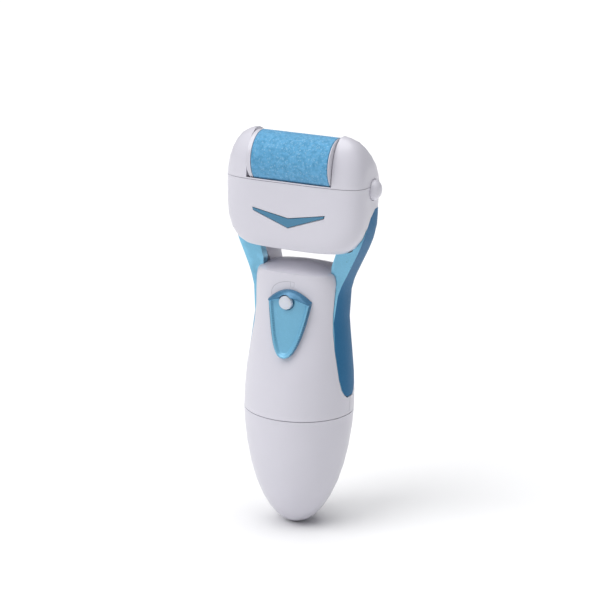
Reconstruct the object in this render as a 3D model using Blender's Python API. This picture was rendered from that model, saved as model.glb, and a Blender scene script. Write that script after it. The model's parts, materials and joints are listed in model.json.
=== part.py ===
"""Electric callus remover: a hand-held foot file with a driven abrasive roller.

Upright in use position: +Z runs from the battery cap to the roller, -Y is the front with the
slide switch, +X is the side with the roller release button. The origin is on the handle's axis,
in the middle of the grip. Sizes below are millimetres, and make_object turns them into metres.
"""

import math

import bmesh
import bpy

MM = 0.001
GAP = 0.3  # between pieces that touch
RUN = 0.06  # radial clearance of a running fit
RING = 44  # points round a casing section

# Casing sections: height, half width, front y, back y, squareness of the superellipse.
CAP_CENTRE, CAP_RADIUS, CAP_HEIGHT, CAP_WALL = -20.0, 24.3, 60.0, 2.0
SEAM = -26.0
HANDLE_SECTIONS = (
    (-31.0, 23.9, -23.9, 23.9, 2.0),
    (-24.0, 24.2, -24.1, 24.2, 2.0),
    (-12.0, 23.9, -22.8, 23.0, 2.0),
    (0.0, 22.7, -19.6, 20.6, 2.1),
    (12.0, 21.2, -16.4, 18.0, 2.2),
    (24.0, 20.3, -14.6, 16.0, 2.4),
    (30.0, 20.0, -14.4, 15.2, 2.7),
    (35.0, 19.2, -14.2, 14.0, 2.9),
    (36.9, 18.1, -13.9, 13.2, 2.9),
    (37.5, 17.0, -13.2, 12.4, 2.8),
    (38.4, 12.0, -10.0, 9.6, 2.5),
    (39.3, 7.2, -6.2, 6.0, 2.2),
    (39.8, 3.4, -2.8, 2.8, 2.0),
)
OUTER_SECTIONS = (  # the outline that the side grips follow from the handle up to the head
    (-24.0, 24.2, -24.1, 24.2, 2.0),
    (-12.0, 23.9, -22.8, 23.0, 2.0),
    (0.0, 22.7, -19.6, 20.6, 2.1),
    (12.0, 21.2, -16.4, 18.0, 2.2),
    (24.0, 20.5, -14.8, 16.4, 2.6),
    (32.0, 21.6, -14.8, 15.8, 3.3),
    (38.0, 23.8, -15.4, 15.2, 4.2),
    (47.0, 27.8, -16.2, 14.8, 4.8),
    (56.0, 31.1, -16.6, 14.0, 4.6),
    (67.0, 32.2, -17.0, 13.2, 4.3),
)
HEAD_SECTIONS = (
    (47.0, 20.5, -12.5, 9.5, 3.5),
    (47.9, 24.0, -15.0, 11.4, 3.8),
    (50.0, 27.0, -16.2, 12.4, 4.0),
    (54.0, 29.8, -16.7, 12.9, 4.2),
    (60.0, 31.7, -16.9, 13.0, 4.2),
    (67.0, 32.2, -17.1, 13.0, 4.2),
    (76.9, 32.3, -17.5, 13.5, 4.2),
)
CRADLE_SECTIONS = (
    (77.1, 32.3, -17.5, 13.5, 4.2),
    (83.5, 31.6, -17.4, 11.6, 4.0),
    (88.5, 30.2, -16.7, 8.6, 3.6),
    (92.5, 28.2, -15.3, 5.2, 3.2),
    (95.7, 25.3, -13.0, 1.6, 2.8),
    (97.4, 21.5, -10.0, -2.5, 2.5),
)
HANDLE_WALLS = (  # height, wall at the sides, wall at front and back
    (-31.0, 3.9, 2.2),
    (-18.0, 4.0, 2.2),
    (-6.0, 4.3, 2.2),
    (4.0, 4.6, 2.2),
    (14.0, 4.8, 2.2),
    (24.0, 4.9, 2.2),
    (30.0, 5.0, 2.2),
    (33.2, 5.4, 3.0),
    (35.6, 7.0, 4.6),
)
HEAD_BACK_FLAT = 12.5
HEAD_PARTING = 10.4

# Side grips: height, front y, back y, inner x of the front layer, depth of the outer skin.
GRIP_ROWS = (
    (-17.6, -2.6, 2.6, 0.0, 1.6),
    (-16.4, -4.8, 4.8, 0.0, 1.9),
    (-14.0, -6.4, 6.4, 0.0, 2.0),
    (-9.0, -7.8, 8.0, 0.0, 2.2),
    (4.0, -8.4, 9.2, 0.0, 2.7),
    (16.0, -7.8, 9.6, 0.0, 3.0),
    (28.0, -7.0, 10.4, 0.0, 3.3),
    (32.5, -6.5, 10.9, 0.0, 3.3),
    (35.0, -6.2, 11.1, 18.2, 3.2),
    (37.5, -6.0, 11.4, 16.0, 2.9),
    (40.5, -6.0, 11.6, 16.1, 2.9),
    (46.55, -6.0, 11.6, 18.0, 2.9),
    (46.75, -6.0, 11.6, 20.9, 2.9),
    (47.65, -6.0, 11.6, 24.4, 2.9),
    (48.5, -6.0, 11.6, 25.7, 2.9),
    (48.8, -6.0, 11.6, 0.0, 2.9),
    (52.0, -6.0, 11.4, 0.0, 2.8),
    (58.0, -4.8, 10.9, 0.0, 2.8),
    (63.0, -2.2, 9.6, 0.0, 2.6),
    (66.0, 1.6, 6.2, 0.0, 2.4),
)
GRIP_STEP = -1.65
GRIP_ARC = 7
# Fork arms of the back shell: height, inner x, outer x, front y, back y.
ARM_ROWS = (
    (30.0, 14.4, 17.4, 0.15, 12.0),
    (36.0, 14.9, 19.2, 0.15, 11.8),
    (38.7, 15.6, 20.6, 0.15, 11.8),
    (41.0, 16.0, 21.8, -1.35, 11.8),
    (46.4, 18.1, 24.3, -1.35, 11.8),
    (46.8, 23.1, 24.5, -1.35, 10.2),
    (56.0, 26.1, 27.4, -1.35, 9.6),
    (62.0, 27.0, 28.3, 2.2, 7.8),
)
TONGUE_DEPTH = 5.0  # recess in the head's side for a grip's skin and the arm's tongue under it

# Roller and its drive. Axes run along X, and positions are (y, z).
ROLLER_AXIS = (-8.8, 86.0)
ROLLER_RADIUS, ROLLER_X = 11.2, (-18.9, 19.2)
SLEEVE_X, SLEEVE_WALL = (-16.5, 18.5), 1.1
TROUGH_RADIUS, SLOT_X, CHEEK_WALL = 11.7, (-19.9, 19.5), 0.95
FRONT_LIP = 77.7
MOTOR_AXIS = (-2.0, 60.0)
MOTOR_RADIUS, MOTOR_FLAT, MOTOR_X = 10.2, 7.7, (-20.4, 4.6)
MODULE, PINION_TEETH, IDLER_TEETH, ROLLER_TEETH = 0.5, 10, 42, 16
GEAR_X = (-24.4, -22.2)

# Roller release.
BUTTON_AXIS = (-0.8, 75.0)
BUTTON_RADIUS = 4.4
PIN_RADIUS = 1.6
BUSH_RADIUS = 3.2
TROUGH_FLOOR = 72.9
LEVER_X = (22.3, 23.5)

# Slide switch.
SLIDER_FOOT, SLIDER_SHOULDER, SLIDER_TOP = 1.0, 25.2, 30.0
SLIDER_MIDDLE, SLIDER_HALF = 1.0, 9.8
SLIDER_GROWTH = ((-20.0, 2.4), (-8.0, 2.4), (2.0, 2.4), (12.0, 2.4), (22.0, 2.5), (25.6, 3.9), (34.0, 4.4))
LOCK_HEIGHT, LOCK_RADIUS = 25.0, 3.1
TERMINALS = (("switch_terminal_low", 10.5), ("switch_terminal_mid", 17.0), ("switch_terminal_high", 23.5))

# Power.
CELL_RADIUS, CELL_LENGTH, CELL_X, CELL_BOTTOM = 7.25, 50.5, 7.6, -57.0
HOLDER_WALL, HOLDER_TOP, HOLDER_BOTTOM = 1.1, -4.4, -55.8
COLLAR_RADIUS, COLLAR_BOTTOM = 19.6, -37.0

WHITE = ((0.80, 0.79, 0.84), 0.38, 0.0)
BLUE = ((0.10, 0.36, 0.62), 0.30, 0.35)
STEEL = ((0.62, 0.62, 0.64), 0.28, 1.0)
BRASS = ((0.78, 0.58, 0.25), 0.32, 1.0)
GREY = ((0.42, 0.43, 0.46), 0.50, 0.0)
BLACK = ((0.03, 0.03, 0.035), 0.55, 0.0)
GEAR = ((0.86, 0.84, 0.78), 0.45, 0.0)
ABRASIVE = ((0.12, 0.38, 0.62), 0.95, 0.0)
CELL = ((0.16, 0.18, 0.22), 0.40, 0.1)
COPPER = ((0.75, 0.38, 0.22), 0.35, 1.0)


# ---------------------------------------------------------------- building blocks


def clear_scene():
    for thing in list(bpy.data.objects):
        bpy.data.objects.remove(thing, do_unlink=True)


def make_material(name, finish):
    colour, roughness, metallic = finish
    made = bpy.data.materials.new(name)
    made.use_nodes = True
    shader = made.node_tree.nodes["Principled BSDF"]
    shader.inputs["Base Color"].default_value = (*colour, 1.0)
    shader.inputs["Roughness"].default_value = roughness
    shader.inputs["Metallic"].default_value = metallic
    return made


def make_object(name, shape, finish=None, origin=(0.0, 0.0, 0.0)):
    """An object from (points, faces) in millimetres, with its origin at the given point."""
    points, faces = shape
    mesh = bpy.data.meshes.new(name)
    local = [tuple((value - start) * MM for value, start in zip(point, origin)) for point in points]
    mesh.from_pydata(local, [], faces)
    tidy = bmesh.new()
    tidy.from_mesh(mesh)
    bmesh.ops.recalc_face_normals(tidy, faces=tidy.faces)
    tidy.to_mesh(mesh)
    tidy.free()
    made = bpy.data.objects.new(name, mesh)
    made.location = [start * MM for start in origin]
    bpy.context.scene.collection.objects.link(made)
    if finish:
        mesh.materials.append(make_material(name, finish))
        smooth(made)
    return made


def smooth(target):
    target.data.shade_smooth()
    target.data.set_sharp_from_angle(angle=math.radians(32))


def carve(target, tool_shape, operation="DIFFERENCE"):
    """Cuts from, joins to or keeps the common part of target and a shape, and applies the result."""
    tool = make_object("tool", tool_shape)
    boolean = target.modifiers.new("Boolean", "BOOLEAN")
    boolean.object = tool
    boolean.operation = operation
    boolean.solver = "EXACT"
    graph = bpy.context.evaluated_depsgraph_get()
    result = bpy.data.meshes.new_from_object(target.evaluated_get(graph))
    worn = target.data
    target.modifiers.clear()
    target.data = result
    bpy.data.meshes.remove(worn)
    bpy.data.objects.remove(tool, do_unlink=True)
    if result.materials:
        smooth(target)


def loft(rings):
    """A closed shape through rings of equal length, with a flat end on the first and the last."""
    count = len(rings[0])
    points = [point for ring in rings for point in ring]
    faces = [tuple(reversed(range(count))), tuple(range(len(points) - count, len(points)))]
    for level in range(len(rings) - 1):
        base = level * count
        for step in range(count):
            following = (step + 1) % count
            faces.append((base + step, base + following, base + count + following, base + count + step))
    return points, faces


def box(low, high):
    (x0, y0, z0), (x1, y1, z1) = low, high
    rings = [[(x0, y0, z), (x1, y0, z), (x1, y1, z), (x0, y1, z)] for z in (z0, z1)]
    return loft(rings)


def along(axis, distance, u, v):
    """A point at a distance along an axis, with u and v across it."""
    return {"X": (distance, u, v), "Y": (u, distance, v), "Z": (u, v, distance)}[axis]


def prism(outline, axis, start, end):
    return loft([[along(axis, distance, u, v) for u, v in outline] for distance in (start, end)])


def circle(radius, centre=(0.0, 0.0), count=24, phase=0.0):
    steps = (phase + 2 * math.pi * step / count for step in range(count))
    return [(centre[0] + radius * math.cos(angle), centre[1] + radius * math.sin(angle)) for angle in steps]


def turned(profile, axis, centre=(0.0, 0.0), count=24):
    """A solid turned round an axis from (distance, radius) pairs, flat at both ends."""
    rings = []
    for distance, radius in profile:
        rings.append([along(axis, distance, u, v) for u, v in circle(radius, centre, count)])
    return loft(rings)


def tube(axis, start, end, outer, inner, centre=(0.0, 0.0), count=24):
    """A ring or sleeve, as a closed shape with a hole through it."""
    corners = ((start, outer), (end, outer), (end, inner), (start, inner))
    points = []
    for distance, radius in corners:
        points += [along(axis, distance, u, v) for u, v in circle(radius, centre, count)]
    faces = []
    for side in range(4):
        first, second = side * count, (side + 1) % 4 * count
        for step in range(count):
            following = (step + 1) % count
            faces.append((first + step, first + following, second + following, second + step))
    return points, faces


def sweep(path, radius, sides=6):
    """A round wire along a path, square to the path at each point."""
    rings = []
    for place, point in enumerate(path):
        before, after = path[max(place - 1, 0)], path[min(place + 1, len(path) - 1)]
        run = [b - a for a, b in zip(before, after)]
        length = math.sqrt(sum(value * value for value in run))
        run = [value / length for value in run]
        helper = (0.0, 0.0, 1.0) if abs(run[2]) < 0.8 else (1.0, 0.0, 0.0)
        side = cross(run, helper)
        size = math.sqrt(sum(value * value for value in side))
        side = [value / size for value in side]
        rise = cross(run, side)
        ring = []
        for u, v in circle(radius, count=sides):
            ring.append(tuple(p + u * s + v * r for p, s, r in zip(point, side, rise)))
        rings.append(ring)
    return loft(rings)


def cross(a, b):
    return (a[1] * b[2] - a[2] * b[1], a[2] * b[0] - a[0] * b[2], a[0] * b[1] - a[1] * b[0])


def coil(axis, start, end, radius, wire, turns, centre=(0.0, 0.0), per_turn=8):
    """A compression spring between two distances along an axis."""
    count = int(turns * per_turn)
    path = []
    for step in range(count + 1):
        angle = 2 * math.pi * step / per_turn
        u = centre[0] + radius * math.cos(angle)
        v = centre[1] + radius * math.sin(angle)
        path.append(along(axis, start + wire + (end - start - 2 * wire) * step / count, u, v))
    return sweep(path, wire, 4)


# ---------------------------------------------------------------- casing outlines


def row_at(table, height):
    """The table's row at a height, on a smooth curve through its rows."""
    last = len(table) - 1
    place = max(index for index in range(last) if table[index][0] <= max(height, table[0][0]))
    low, high = table[place], table[place + 1]
    span = high[0] - low[0]
    share = min(max((height - low[0]) / span, 0.0), 1.0)

    def slope(index, column):
        first, second = table[max(index - 1, 0)], table[min(index + 1, last)]
        return (second[column] - first[column]) / (second[0] - first[0])

    row = [height]
    for column in range(1, len(low)):
        start, finish = slope(place, column) * span, slope(place + 1, column) * span
        cubed, squared = share**3, share**2
        value = (2 * cubed - 3 * squared + 1) * low[column] + (3 * squared - 2 * cubed) * high[column]
        value += (cubed - 2 * squared + share) * start + (cubed - squared) * finish
        row.append(value)
    return row


def casing_ring(row, side=0.0, face=0.0):
    """A superellipse section, drawn in by side across and by face at front and back."""
    height, half, front, back, power = row
    half, front, back = half - side, front + face, back - face
    middle, depth = (front + back) / 2, (back - front) / 2
    ring = []
    for step in range(RING):
        angle = 2 * math.pi * (step + 0.5) / RING
        c, s = math.cos(angle), math.sin(angle)
        x = half * math.copysign(abs(c) ** (2 / power), c)
        y = middle + depth * math.copysign(abs(s) ** (2 / power), s)
        ring.append((x, y, height))
    return ring


def edge_x(row, y):
    """Half width of a section at a given y."""
    _, half, front, back, power = row
    share = abs(y - (front + back) / 2) / ((back - front) / 2)
    return half * (1 - min(share, 0.999) ** power) ** (1 / power)


def edge_y(row, x):
    """Front y of a section at a given x."""
    _, half, front, back, power = row
    reach = (1 - min(x / half, 0.999) ** power) ** (1 / power)
    return (front + back) / 2 - (back - front) / 2 * reach


def casing(table, heights, side=0.0, face=0.0):
    return loft([casing_ring(row_at(table, height), side, face) for height in heights])


def handle_solid(grow=0.0, low=SEAM + GAP / 2):
    heights = (low, -18.0, -8.0, 2.0, 12.0, 20.0, 28.0, 33.0, 35.8, 36.9, 37.5, 38.4, 39.3, 39.8)
    return casing(HANDLE_SECTIONS, heights, -grow, -grow)


def handle_hollow():
    rings = []
    for height, side, face in HANDLE_WALLS:
        rings.append(casing_ring(row_at(HANDLE_SECTIONS, height), side, face))
    return loft(rings)


def grip_ring(row, side):
    """Section of a side grip: the casing's outline outside, a step for the arm behind it."""
    height, front, back, inner, skin = row
    outline = row_at(OUTER_SECTIONS, height)
    skin_x = outline[1] - skin
    front_x = inner or skin_x - 0.05
    step = min(GRIP_STEP, front + 0.55 * (back - front))
    step = max(step, front + 0.2 * (back - front))
    ring = []
    for place in range(GRIP_ARC):
        y = front + (back - front) * place / (GRIP_ARC - 1)
        ring.append((edge_x(outline, y), y))
    ring += [(min(skin_x, ring[-1][0] - 0.4), back), (skin_x, step), (front_x, step - 0.02)]
    ring.append((min(front_x, ring[0][0] - 0.4), front))
    return [(side * x, y, height) for x, y in ring]


def grip_recess(rows, side, depth=None):
    """Room for a grip in the casing, open to the outside."""
    rings = []
    for place, (height, front, back, inner, skin) in enumerate(rows):
        outline = row_at(OUTER_SECTIONS, height)
        inside = min(inner or outline[1], outline[1] - (depth or skin)) - GAP
        height += -2 * GAP if place == 0 else GAP if place == len(rows) - 1 else 0.0
        outside = outline[1] + 5.0
        corners = ((inside, front - GAP), (outside, front - GAP), (outside, back + GAP), (inside, back + GAP))
        rings.append([(side * x, y, height) for x, y in corners])
    return loft(rings)


# ---------------------------------------------------------------- casings


HANDLE_SCREWS = (2.0, 29.0)
BOSS_RADIUS, SCREW_RADIUS, SCREW_HEAD = 2.7, 1.2, 2.3


def handle_front_shell():
    shell = make_object("handle_front_shell", handle_solid(), WHITE)
    carve(shell, handle_hollow())
    for height in HANDLE_SCREWS:
        face = row_at(HANDLE_SECTIONS, height)[2] + 0.8
        carve(shell, prism(circle(BOSS_RADIUS, (0, height), 12), "Y", face, 5.0), "UNION")
    carve(shell, box((-60, -GAP / 2, -90), (60, 60, 60)))
    low_rows = [row for row in GRIP_ROWS if row[0] < 42]
    for side in (-1, 1):
        carve(shell, grip_recess(low_rows, side))
    for height in HANDLE_SCREWS:
        carve(shell, prism(circle(SCREW_RADIUS + RUN, (0, height), 12), "Y", -9.0, 5.0))
    carve(shell, box((-2.1, -30, 12.4), (2.1, -10, 23.8)))
    return shell


def back_shell():
    shell = make_object("back_shell", handle_solid(), WHITE)
    carve(shell, handle_hollow())
    for height in HANDLE_SCREWS:
        face = row_at(HANDLE_SECTIONS, height)[3] - 0.8
        carve(shell, prism(circle(BOSS_RADIUS + 0.8, (0, height), 12), "Y", -2.0, face), "UNION")
    carve(shell, box((-60, -60, -90), (60, GAP / 2, 60)))
    low_rows = [row for row in GRIP_ROWS if row[0] < 42]
    for side in (-1, 1):
        carve(shell, grip_recess([row[:3] + (0.0,) + row[4:] for row in low_rows], side))
        carve(shell, fork_arm(side), "UNION")
    for height in HANDLE_SCREWS:
        carve(shell, prism(circle(SCREW_RADIUS + 0.2, (0, height), 12), "Y", -2.0, 15.0))
        carve(shell, prism(circle(SCREW_HEAD + GAP, (0, height), 16), "Y", 8.0, 30.0))
    return shell


def fork_arm(side):
    rings = []
    for height, inner, outer, front, back in ARM_ROWS:
        corners = ((inner, front), (outer, front), (outer, back), (inner, back))
        rings.append([(side * x, y, height) for x, y in corners])
    return loft(rings)


def side_grip(name, side):
    return make_object(name, loft([grip_ring(row, side) for row in GRIP_ROWS]), BLUE)


HEAD_LEVELS = (47.0, 47.9, 50.0, 54.0, 59.0, 65.0, 70.0, 76.9)
HEAD_SCREWS = ((13.5, 57.0), (13.5, 68.0))
COVER_SEAT, COVER_REACH = 10.6, 8.9


def head_hollow():
    """Inside of the head: narrow beside the arm tongues, wide above them."""
    rings = []
    for height, half in ((49.2, 21.2), (52.0, 23.2), (56.0, 25.3), (61.0, 26.0), (66.6, 26.4)):
        row = row_at(HEAD_SECTIONS, height)
        rings.append(casing_ring(row, row[1] - half, 1.8 + max(0.0, 52.0 - height)))
    for height in (67.0, 71.0, 76.9):
        rings.append(casing_ring(row_at(HEAD_SECTIONS, height), 1.8, 1.8))
    rings.append([(x, y, 82.0) for x, y, _ in rings[-1]])
    return loft(rings)


def head_recesses(shell):
    skin_rows = [row for row in GRIP_ROWS if row[0] > 46]
    tongue_rows = []
    for height, front, back, _, skin in skin_rows:
        tongue_rows.append((height, max(front, GRIP_STEP), back, 0.0, skin))
    for side in (-1, 1):
        carve(shell, grip_recess(skin_rows, side))
        carve(shell, grip_recess(tongue_rows, side, TONGUE_DEPTH))


def head_housing():
    shell = make_object("head_housing", casing(HEAD_SECTIONS, HEAD_LEVELS), WHITE)
    carve(shell, head_hollow())
    for x, z in HEAD_SCREWS:
        face = edge_y(row_at(HEAD_SECTIONS, z), abs(x) + BOSS_RADIUS) + 0.6
        carve(shell, prism(circle(BOSS_RADIUS, (x, z), 12), "Y", face, COVER_REACH - GAP), "UNION")
    carve(shell, box((-60, HEAD_PARTING - GAP / 2, 0), (60, 60, 90)))
    head_recesses(shell)
    for x, z in HEAD_SCREWS:
        carve(shell, prism(circle(SCREW_RADIUS + RUN, (x, z), 12), "Y", 0.0, 20.0))
    carve(shell, prism(circle(BUTTON_RADIUS + GAP, BUTTON_AXIS, 24), "X", 26.0, 40.0))
    carve(shell, prism(chevron(GAP), "Y", -30.0, -16.0))
    return shell


def head_back_cover():
    cover = make_object("head_back_cover", casing(HEAD_SECTIONS, HEAD_LEVELS), WHITE)
    hollow = casing(HEAD_SECTIONS, (49.0, 54.0, 60.0, 68.0, 75.0), 6.9, 2.3)
    carve(cover, hollow)
    carve(cover, box((-60, -60, 0), (60, HEAD_PARTING + GAP / 2, 90)))
    carve(cover, box((-60, HEAD_BACK_FLAT, 0), (60, 60, 90)))
    head_recesses(cover)
    for x, z in HEAD_SCREWS:
        carve(cover, prism(circle(BOSS_RADIUS + 0.8, (x, z), 16), "Y", COVER_REACH, 12.0), "UNION")
        carve(cover, prism(circle(SCREW_RADIUS + 0.2, (x, z), 12), "Y", 0.0, 20.0))
        carve(cover, prism(circle(SCREW_HEAD + GAP, (x, z), 16), "Y", COVER_SEAT, 20.0))
    return cover


def chevron(grow=0.0):
    """Outline of the V-shaped inlay, tips up."""
    half, tip_top, tip_low, centre_top, centre_low = 16.6, 64.8, 63.9, 61.8, 58.0
    return [
        (-half - grow, tip_top + grow),
        (0.0, centre_top + grow),
        (half + grow, tip_top + grow),
        (half + grow - 0.4, tip_low - grow),
        (0.0, centre_low - grow * 1.3),
        (-half - grow + 0.4, tip_low - grow),
    ]


def chevron_inlay():
    return make_object("chevron_inlay", prism(chevron(), "Y", -17.15, -16.3), BLUE)


def roller_cradle():
    levels = (77.1, 80.5, 84.5, 88.5, 92.0, 94.8, 96.6, 97.4)
    cradle = make_object("roller_cradle", casing(CRADLE_SECTIONS, levels), WHITE)
    hollow = [casing_ring(row_at(CRADLE_SECTIONS, 76.0), 1.8, 1.8)]
    for height, inset in ((80.5, 1.6), (85.5, 1.4), (89.5, 1.5), (93.0, 2.8), (94.8, 4.4)):
        hollow.append(casing_ring(row_at(CRADLE_SECTIONS, height), inset, inset))
    cheek_hollow = make_object("hollow", loft(hollow), WHITE)
    left, right = SLOT_X
    carve(cheek_hollow, box((left - CHEEK_WALL, -60, 60), (right + CHEEK_WALL, 60, 120)))
    subtract(cradle, cheek_hollow)
    carve(cradle, box((left, -30, 80.0), (right, 30, 120)))
    carve(cradle, box((left, -30, FRONT_LIP), (right, ROLLER_AXIS[0], 120)))
    carve(cradle, box((left - 0.4, -14.6, TROUGH_FLOOR), (right + 0.4, 4.2, 78.0)), "UNION")
    carve(cradle, prism(circle(TROUGH_RADIUS, ROLLER_AXIS, 36), "X", left, right))
    carve(cradle, prism(circle(BUSH_RADIUS + RUN, ROLLER_AXIS, 20), "X", left - 2.0, left + 1.0))
    carve(cradle, prism(circle(PIN_RADIUS + RUN, ROLLER_AXIS, 20), "X", right - 1.0, right + 2.0))
    carve(cradle, prism(circle(BUTTON_RADIUS + GAP, BUTTON_AXIS, 24), "X", 26.0, 40.0))
    return cradle


def subtract(target, tool):
    """Cuts another object's shape from target and removes that object."""
    points = [tuple(value / MM for value in vertex.co) for vertex in tool.data.vertices]
    faces = [tuple(face.vertices) for face in tool.data.polygons]
    bpy.data.objects.remove(tool, do_unlink=True)
    carve(target, (points, faces))


# ---------------------------------------------------------------- battery end


def cap_radius(height, wall=0.0):
    share = (height - CAP_CENTRE) / (CAP_HEIGHT - wall)
    return (CAP_RADIUS - wall) * math.sqrt(max(1 - share * share, 0.0))


def battery_cap():
    bottom = CAP_CENTRE - CAP_HEIGHT
    levels = [bottom + rise for rise in (0.05, 0.6, 2.0, 4.5, 8.0, 13.0, 20.0, 28.0, 37.0, 46.0)]
    levels.append(SEAM - GAP / 2)
    cap = make_object("battery_cap", turned([(z, cap_radius(z)) for z in levels], "Z", count=RING), WHITE)
    inside = [bottom + CAP_WALL + rise for rise in (0.1, 1.5, 5.0, 11.0, 18.0, 27.0, 38.0, 47.0)]
    inside.append(SEAM + 3.0)
    carve(cap, turned([(z, cap_radius(z, CAP_WALL)) for z in inside], "Z", count=RING))
    for x in (-CELL_X, CELL_X):
        carve(cap, prism(circle(2.2, (x, 0), 10), "Z", -74.0, -62.6), "UNION")
    for side in (-1, 1):
        tab = box((20.1, -6.0, -33.6), (22.6, 6.0, -32.2))
        points = [(side * x, y, z) for x, y, z in tab[0]]
        carve(cap, (points, tab[1]), "UNION")
    return cap


def cap_contact_bridge():
    make_object("cap_contact_bridge", box((-11.5, -4.0, -62.3), (11.5, 4.0, -61.8)), STEEL)


def battery_holder():
    outline = []
    for centre, turn in ((CELL_X, -math.pi / 2), (-CELL_X, math.pi / 2)):
        for step in range(9):
            angle = turn + math.pi * step / 8
            reach = CELL_RADIUS + 0.2 + HOLDER_WALL
            outline.append((centre + reach * math.cos(angle), reach * math.sin(angle)))
    holder = make_object("battery_holder", prism(outline, "Z", HOLDER_BOTTOM, HOLDER_TOP), GREY)
    carve(holder, tube("Z", COLLAR_BOTTOM, -24.2, COLLAR_RADIUS, COLLAR_RADIUS - 1.6, count=RING), "UNION")
    carve(holder, prism(circle(COLLAR_RADIUS, count=RING), "Z", -26.0, -24.2), "UNION")
    for side in (-1, 1):
        lug = box((COLLAR_RADIUS - 1.0, -5.0, -35.4), (20.6, 5.0, -34.0))
        carve(holder, ([(side * x, y, z) for x, y, z in lug[0]], lug[1]), "UNION")
    for x in (-CELL_X, CELL_X):
        carve(holder, prism(circle(CELL_RADIUS + 0.2, (x, 0), 24), "Z", -80.0, HOLDER_TOP - 1.1))
    return holder


def cap_seal():
    section = circle(0.85, (COLLAR_RADIUS + 1.15, -28.4), 6)
    rings = []
    for step in range(RING):
        angle = 2 * math.pi * step / RING
        rings.append([(r * math.cos(angle), r * math.sin(angle), z) for r, z in section])
    points, faces = loft(rings)
    count = len(section)
    start = len(points) - count
    faces = faces[2:]
    for side in range(count):
        following = (side + 1) % count
        faces.append((start + side, start + following, following, side))
    return make_object("cap_seal", (points, faces), BLACK)


def battery_cell(name, x, upright):
    length = CELL_LENGTH
    profile = [(0.0, 6.4), (0.3, CELL_RADIUS), (length - 2.0, CELL_RADIUS), (length - 1.6, 6.6)]
    profile += [(length - 1.55, 2.8), (length, 2.6)]
    if upright:
        turned_profile = [(CELL_BOTTOM + z, r) for z, r in profile]
    else:
        turned_profile = [(CELL_BOTTOM + length - z, r) for z, r in reversed(profile)]
    return make_object(name, turned(turned_profile, "Z", (x, 0), 20), CELL)


def battery_parts():
    battery_cell("battery_cell_left", -CELL_X, True)
    battery_cell("battery_cell_right", CELL_X, False)
    top = CELL_BOTTOM + CELL_LENGTH
    disc = [(top + 0.2, 4.5), (top + 0.5, 4.5)]
    make_object("positive_contact", turned(disc, "Z", (-CELL_X, 0), 16), STEEL)
    make_object("negative_contact", turned(disc, "Z", (CELL_X, 0), 16), STEEL)
    for name, x in (("cell_spring_left", -CELL_X), ("cell_spring_right", CELL_X)):
        make_object(name, coil("Z", -61.6, -57.3, 3.0, 0.35, 3.5, (x, 0)), STEEL)


# ---------------------------------------------------------------- switch


def slider_outline():
    """Thumb piece in front view: rounded foot, full shoulders, arched top."""
    rise = SLIDER_SHOULDER - SLIDER_FOOT
    right = []
    for step in range(13):
        share = (step / 12) ** 2
        right.append((SLIDER_HALF * share**0.4, SLIDER_FOOT + rise * share))
    top = []
    for step in range(1, 8):
        across = math.cos(math.pi * step / 8)
        lift = 1 - across * across
        top.append((SLIDER_HALF * across, SLIDER_SHOULDER + 0.4 + (SLIDER_TOP - SLIDER_SHOULDER) * lift))
    left = [(-x, z) for x, z in reversed(right[1:])]
    return [(x + SLIDER_MIDDLE, z) for x, z in right + top + left]


def slider_skin():
    """The handle's surface grown outwards, further where the visor stands up."""
    rings = []
    for height, grow in SLIDER_GROWTH:
        rings.append(casing_ring(row_at(HANDLE_SECTIONS, height), -grow, -grow))
    return loft(rings)


def switch_slider():
    slider = make_object("switch_slider", prism(slider_outline(), "Y", -40.0, -5.0), BLUE)
    carve(slider, slider_skin(), "INTERSECT")
    carve(slider, handle_solid(0.4, -19.3))
    carve(slider, box((-1.7, -17.5, 13.0), (1.7, -10.6, 19.0)), "UNION")
    carve(slider, prism(circle(LOCK_RADIUS + GAP, (0, LOCK_HEIGHT), 20), "Y", -40.0, -8.0))
    return slider


def switch_parts():
    switch_slider()
    face = row_at(HANDLE_SECTIONS, LOCK_HEIGHT)[2]
    lock = [(face - 3.6, LOCK_RADIUS - 0.6), (face - 3.1, LOCK_RADIUS), (face - 1.5, LOCK_RADIUS)]
    make_object("lock_button", turned(lock, "Y", (0, LOCK_HEIGHT), 20), WHITE, (0, face - 1.5, LOCK_HEIGHT))
    make_object("switch_carriage", box((-4.5, -10.3, 11.0), (4.5, -9.3, 20.0)), GREY)
    make_object("switch_lever", box((-1.2, -9.0, 14.0), (1.2, -6.4, 17.0)), BLACK)
    body = make_object("slide_switch", box((-5.5, -8.8, 7.0), (5.5, -2.6, 25.0)), GREY)
    carve(body, box((-1.6, -20.0, 12.0), (1.6, -5.9, 23.0)))
    for name, height in TERMINALS:
        make_object(name, box((-1.0, -2.3, height - 0.3), (1.0, 1.0, height + 0.3)), COPPER)


# ---------------------------------------------------------------- drive


def gear_outline(teeth, phase, centre):
    """Tapered teeth with room between them, one tooth centred on the phase angle."""
    radius = MODULE * teeth / 2
    pitch = 2 * math.pi / teeth
    tip, root = radius + 0.9 * MODULE, radius - 1.15 * MODULE
    outline = []
    for tooth in range(teeth):
        middle = phase + tooth * pitch
        for reach, offset in ((root, -0.30), (tip, -0.13), (tip, 0.13), (root, 0.30)):
            angle = middle + offset * pitch
            outline.append((centre[0] + reach * math.cos(angle), centre[1] + reach * math.sin(angle)))
    return outline


def meeting_point(start, end, first, second):
    """Where circles of two radii round two centres meet, on the +y side."""
    dy, dz = end[0] - start[0], end[1] - start[1]
    apart = math.hypot(dy, dz)
    run = (first**2 - second**2 + apart**2) / (2 * apart)
    rise = math.sqrt(first**2 - run**2)
    return (start[0] + (run * dy + rise * dz) / apart, start[1] + (run * dz - rise * dy) / apart)


def mate_phase(phase, teeth, mate_teeth, direction):
    return direction + math.pi - (phase - direction) * teeth / mate_teeth + math.pi / mate_teeth


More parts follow.
